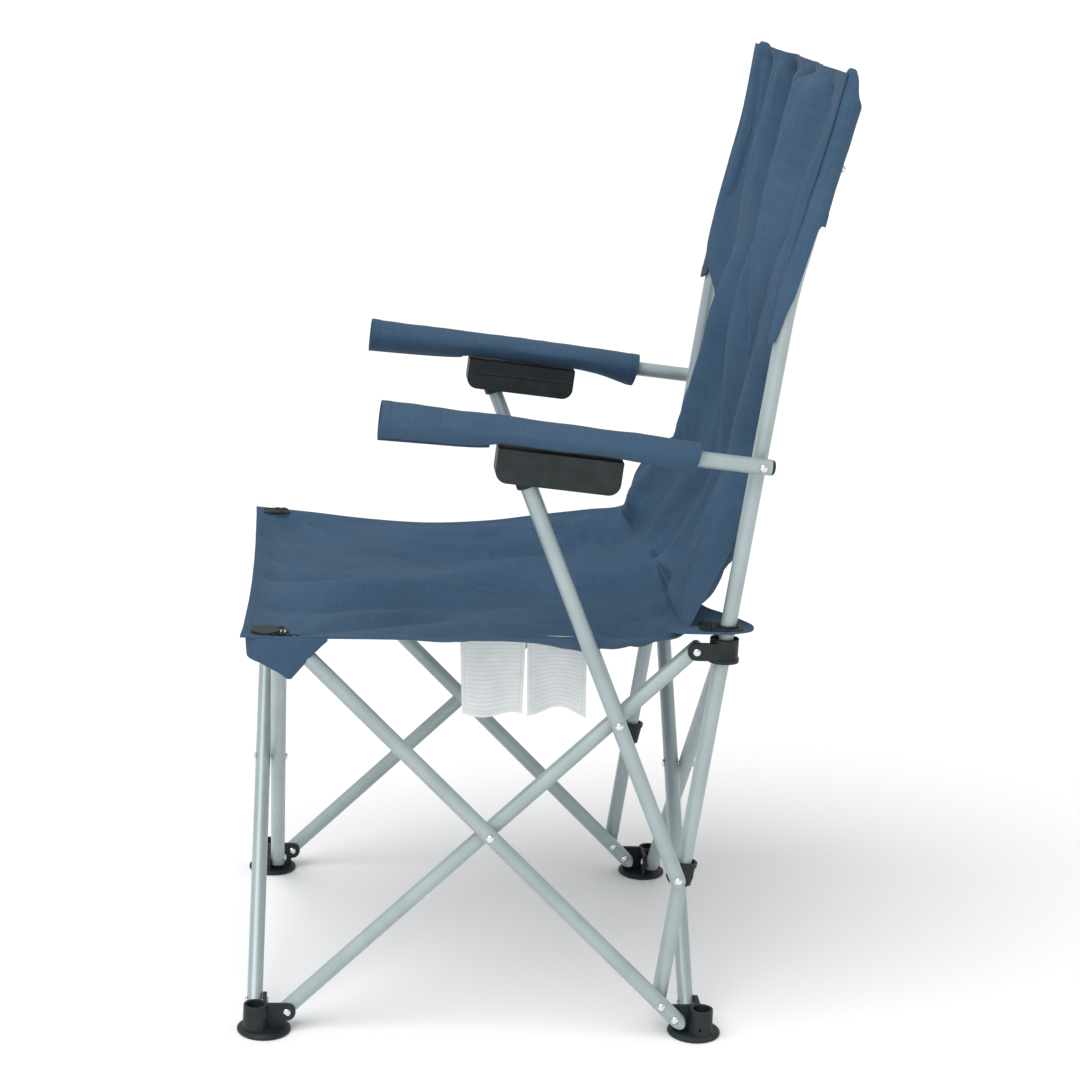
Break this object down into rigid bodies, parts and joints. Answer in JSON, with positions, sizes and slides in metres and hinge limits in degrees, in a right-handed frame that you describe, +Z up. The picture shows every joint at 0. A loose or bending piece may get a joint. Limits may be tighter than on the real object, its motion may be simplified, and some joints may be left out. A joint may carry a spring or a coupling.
{
  "type": "folding camp chair",
  "caption": "Folding camp chair with a blue cloth seat and high back on a grey tube frame, crossed legs, sliding back posts, padded arms on sliding supports, and black plastic feet and joints.",
  "frame": {"origin": "on the floor, midway between the four feet along X and Y", "axes": "+Z up; the sitter faces -Y; +X is at the left hand of the sitter"},
  "size_m": [0.5396, 0.5763, 0.9858],
  "materials": {
    "coated_steel": "satin powder coat",
    "black_plastic": "satin moulded",
    "rivet_plating": "bright plated",
    "blue_cloth": "woven polyester, matte"
  },
  "bodies": {
    "foot_rear_left": {"foot_rear_left": "black_plastic"},
    "leg_left_rear": {"leg_left_rear": "coated_steel", "rivet_foot_left_rear": "rivet_plating", "rivet_cross_left": "rivet_plating", "rivet_post_left": "rivet_plating"},
    "leg_left_front": {"leg_left_front": "coated_steel", "rivet_foot_left_front": "rivet_plating", "rivet_hub_left_side": "rivet_plating", "rivet_support_left": "rivet_plating"},
    "foot_front_left": {"foot_front_left": "black_plastic"},
    "leg_front_left": {"leg_front_left": "coated_steel", "rivet_foot_front_left": "rivet_plating", "rivet_cross_front": "rivet_plating"},
    "leg_front_right": {"leg_front_right": "coated_steel", "rivet_foot_front_right": "rivet_plating"},
    "foot_front_right": {"foot_front_right": "black_plastic"},
    "front_corner_right": {"front_corner_right": "black_plastic"},
    "front_corner_left": {"front_corner_left": "black_plastic"},
    "rear_hub_left": {"rear_hub_left": "black_plastic"},
    "arm_support_left": {"arm_support_left": "coated_steel", "track_cap_left": "black_plastic", "rivet_sleeve_left": "rivet_plating"},
    "post_sleeve_left": {"post_sleeve_left": "black_plastic"},
    "back_post_left": {"back_post_left": "coated_steel", "rivet_arm_left": "rivet_plating", "back_top": "blue_cloth"},
    "arm_left": {"arm_tube_left": "coated_steel", "arm_track_left": "black_plastic", "arm_cover_left": "blue_cloth"},
    "leg_rear_left": {"leg_rear_left": "coated_steel", "rivet_foot_rear_left": "rivet_plating", "rivet_hub_right_back": "rivet_plating"},
    "leg_rear_right": {"leg_rear_right": "coated_steel", "rivet_foot_rear_right": "rivet_plating", "rivet_hub_left_back": "rivet_plating", "rivet_cross_rear": "rivet_plating"},
    "foot_rear_right": {"foot_rear_right": "black_plastic"},
    "leg_right_rear": {"leg_right_rear": "coated_steel", "rivet_foot_right_rear": "rivet_plating", "rivet_cross_right": "rivet_plating", "rivet_post_right": "rivet_plating"},
    "leg_right_front": {"leg_right_front": "coated_steel", "rivet_foot_right_front": "rivet_plating", "rivet_hub_right_side": "rivet_plating", "rivet_support_right": "rivet_plating"},
    "rear_hub_right": {"rear_hub_right": "black_plastic"},
    "arm_support_right": {"arm_support_right": "coated_steel", "track_cap_right": "black_plastic", "rivet_sleeve_right": "rivet_plating"},
    "post_sleeve_right": {"post_sleeve_right": "black_plastic"},
    "back_post_right": {"back_post_right": "coated_steel", "rivet_arm_right": "rivet_plating"},
    "arm_right": {"arm_tube_right": "coated_steel", "arm_track_right": "black_plastic", "arm_cover_right": "blue_cloth"},
    "seat_front": {"seat_front": "blue_cloth"},
    "seat_rear": {"seat_rear": "blue_cloth"},
    "back_low": {"back_low": "blue_cloth"},
    "back_mid": {"back_mid": "blue_cloth"}
  },
  "joints": [
    {"name": "fold", "type": "hinge", "parent": "foot_rear_left", "child": "leg_left_rear", "pos_m": [0.2322, 0.199, 0.022], "axis": [-1, 0, 0], "range_deg": [0, 31.43], "deforming": ["back_top"]},
    {"name": "cross_left", "type": "hinge", "parent": "leg_left_rear", "child": "leg_left_front", "pos_m": [0.224, 0, 0.218], "axis": [1, 0, 0], "range_deg": [0, 62.89]},
    {"name": "foot_front_left_tilt", "type": "hinge", "parent": "leg_left_front", "child": "foot_front_left", "pos_m": [0.2158, -0.199, 0.022], "axis": [1, 0, 0], "range_deg": [-31.45, 0]},
    {"name": "front_fold", "type": "hinge", "parent": "foot_front_left", "child": "leg_front_left", "pos_m": [0.199, -0.2322, 0.022], "axis": [0, 1, 0], "range_deg": [0, 31.45]},
    {"name": "cross_front", "type": "hinge", "parent": "leg_front_left", "child": "leg_front_right", "pos_m": [0, -0.224, 0.218], "axis": [0, 1, 0], "range_deg": [-62.89, 0]},
    {"name": "foot_front_right_tilt", "type": "hinge", "parent": "leg_front_right", "child": "foot_front_right", "pos_m": [-0.199, -0.2158, 0.022], "axis": [0, 1, 0], "range_deg": [0, 31.45]},
    {"name": "corner_front_right_tilt", "type": "hinge", "parent": "leg_front_left", "child": "front_corner_right", "pos_m": [-0.199, -0.2322, 0.414], "axis": [0, 1, 0], "range_deg": [-31.45, 0]},
    {"name": "corner_front_left_tilt", "type": "hinge", "parent": "leg_left_rear", "child": "front_corner_left", "pos_m": [0.2322, -0.199, 0.414], "axis": [1, 0, 0], "range_deg": [0, 31.45]},
    {"name": "hub_left_tilt", "type": "hinge", "parent": "leg_left_front", "child": "rear_hub_left", "pos_m": [0.2158, 0.199, 0.414], "axis": [1, 0, 0], "range_deg": [-31.45, 0]},
    {"name": "support_left_swing", "type": "hinge", "parent": "leg_left_front", "child": "arm_support_left", "pos_m": [0.2356, 0.12348, 0.33962], "axis": [1, 0, 0], "range_deg": [-44.48, 0]},
    {"name": "sleeve_left_tilt", "type": "hinge", "parent": "arm_support_left", "child": "post_sleeve_left", "pos_m": [0.2158, 0.19255, 0.17611], "axis": [1, 0, 0], "range_deg": [0, 16.21]},
    {"name": "post_left_lean", "type": "hinge", "parent": "leg_left_rear", "child": "back_post_left", "pos_m": [0.224, 0.18423, 0.03655], "axis": [1, 0, 0], "range_deg": [0, 34.61]},
    {"name": "arm_left_swing", "type": "hinge", "parent": "back_post_left", "child": "arm_left", "pos_m": [0.2356, 0.2502, 0.60674], "axis": [1, 0, 0], "range_deg": [-59.12, 0]},
    {"name": "rear_fold", "type": "hinge", "parent": "foot_rear_left", "child": "leg_rear_left", "pos_m": [0.199, 0.2158, 0.022], "axis": [0, 1, 0], "range_deg": [0, 31.45]},
    {"name": "cross_rear", "type": "hinge", "parent": "leg_rear_left", "child": "leg_rear_right", "pos_m": [0, 0.224, 0.218], "axis": [0, 1, 0], "range_deg": [-62.89, 0]},
    {"name": "foot_rear_right_tilt", "type": "hinge", "parent": "leg_rear_right", "child": "foot_rear_right", "pos_m": [-0.199, 0.2322, 0.022], "axis": [0, 1, 0], "range_deg": [0, 31.45]},
    {"name": "right_fold", "type": "hinge", "parent": "foot_rear_right", "child": "leg_right_rear", "pos_m": [-0.2158, 0.199, 0.022], "axis": [1, 0, 0], "range_deg": [-31.45, 0]},
    {"name": "cross_right", "type": "hinge", "parent": "leg_right_rear", "child": "leg_right_front", "pos_m": [-0.224, 0, 0.218], "axis": [1, 0, 0], "range_deg": [0, 62.89]},
    {"name": "hub_right_tilt", "type": "hinge", "parent": "leg_right_front", "child": "rear_hub_right", "pos_m": [-0.2322, 0.199, 0.414], "axis": [1, 0, 0], "range_deg": [-31.45, 0]},
    {"name": "support_right_swing", "type": "hinge", "parent": "leg_right_front", "child": "arm_support_right", "pos_m": [-0.252, 0.12348, 0.33962], "axis": [1, 0, 0], "range_deg": [-44.48, 0]},
    {"name": "sleeve_right_tilt", "type": "hinge", "parent": "arm_support_right", "child": "post_sleeve_right", "pos_m": [-0.2322, 0.19255, 0.17611], "axis": [1, 0, 0], "range_deg": [0, 16.21]},
    {"name": "post_right_lean", "type": "hinge", "parent": "leg_right_rear", "child": "back_post_right", "pos_m": [-0.224, 0.18423, 0.03655], "axis": [1, 0, 0], "range_deg": [0, 34.61]},
    {"name": "arm_right_swing", "type": "hinge", "parent": "back_post_right", "child": "arm_right", "pos_m": [-0.252, 0.2502, 0.60674], "axis": [1, 0, 0], "range_deg": [-59.12, 0]},
    {"name": "seat_front_drop", "type": "hinge", "parent": "front_corner_left", "child": "seat_front", "pos_m": [0, -0.224, 0.432], "axis": [1, 0, 0], "range_deg": [-62.43, 0], "deforming": ["seat_front"]},
    {"name": "seat_rear_drop", "type": "hinge", "parent": "rear_hub_left", "child": "seat_rear", "pos_m": [0, 0.195, 0.436], "axis": [1, 0, 0], "range_deg": [0, 64.71], "deforming": ["seat_rear"]},
    {"name": "back_low_fold", "type": "hinge", "parent": "rear_hub_left", "child": "back_low", "pos_m": [0, 0.195, 0.436], "axis": [1, 0, 0], "range_deg": [0, 57.88], "deforming": ["back_low"]},
    {"name": "back_mid_fold", "type": "hinge", "parent": "back_post_left", "child": "back_mid", "pos_m": [0, 0.27256, 0.8], "axis": [1, 0, 0], "range_deg": [-63.83, 0], "deforming": ["back_mid"]}
  ],
  "couplings": [
    {"joint": "cross_left", "follows": "fold", "ratio": 2},
    {"joint": "foot_front_left_tilt", "follows": "fold", "ratio": -1},
    {"joint": "front_fold", "follows": "fold", "ratio": 1},
    {"joint": "cross_front", "follows": "fold", "ratio": -2},
    {"joint": "foot_front_right_tilt", "follows": "fold", "ratio": 1},
    {"joint": "corner_front_right_tilt", "follows": "fold", "ratio": -1},
    {"joint": "corner_front_left_tilt", "follows": "fold", "ratio": 1},
    {"joint": "hub_left_tilt", "follows": "fold", "ratio": -1},
    {"joint": "support_left_swing", "follows": "fold", "ratio": -1.4144},
    {"joint": "sleeve_left_tilt", "follows": "fold", "ratio": 0.5149},
    {"joint": "post_left_lean", "follows": "fold", "ratio": 1.1005},
    {"joint": "arm_left_swing", "follows": "fold", "ratio": -1.8801},
    {"joint": "rear_fold", "follows": "fold", "ratio": 1},
    {"joint": "cross_rear", "follows": "fold", "ratio": -2},
    {"joint": "foot_rear_right_tilt", "follows": "fold", "ratio": 1},
    {"joint": "right_fold", "follows": "fold", "ratio": -1},
    {"joint": "cross_right", "follows": "fold", "ratio": 2},
    {"joint": "hub_right_tilt", "follows": "fold", "ratio": -1},
    {"joint": "support_right_swing", "follows": "fold", "ratio": -1.4144},
    {"joint": "sleeve_right_tilt", "follows": "fold", "ratio": 0.5149},
    {"joint": "post_right_lean", "follows": "fold", "ratio": 1.1005},
    {"joint": "arm_right_swing", "follows": "fold", "ratio": -1.8801},
    {"joint": "seat_front_drop", "follows": "fold", "ratio": -1.9853},
    {"joint": "seat_rear_drop", "follows": "fold", "ratio": 2.0579},
    {"joint": "back_low_fold", "follows": "fold", "ratio": 1.8405},
    {"joint": "back_mid_fold", "follows": "fold", "ratio": -2.03}
  ]
}
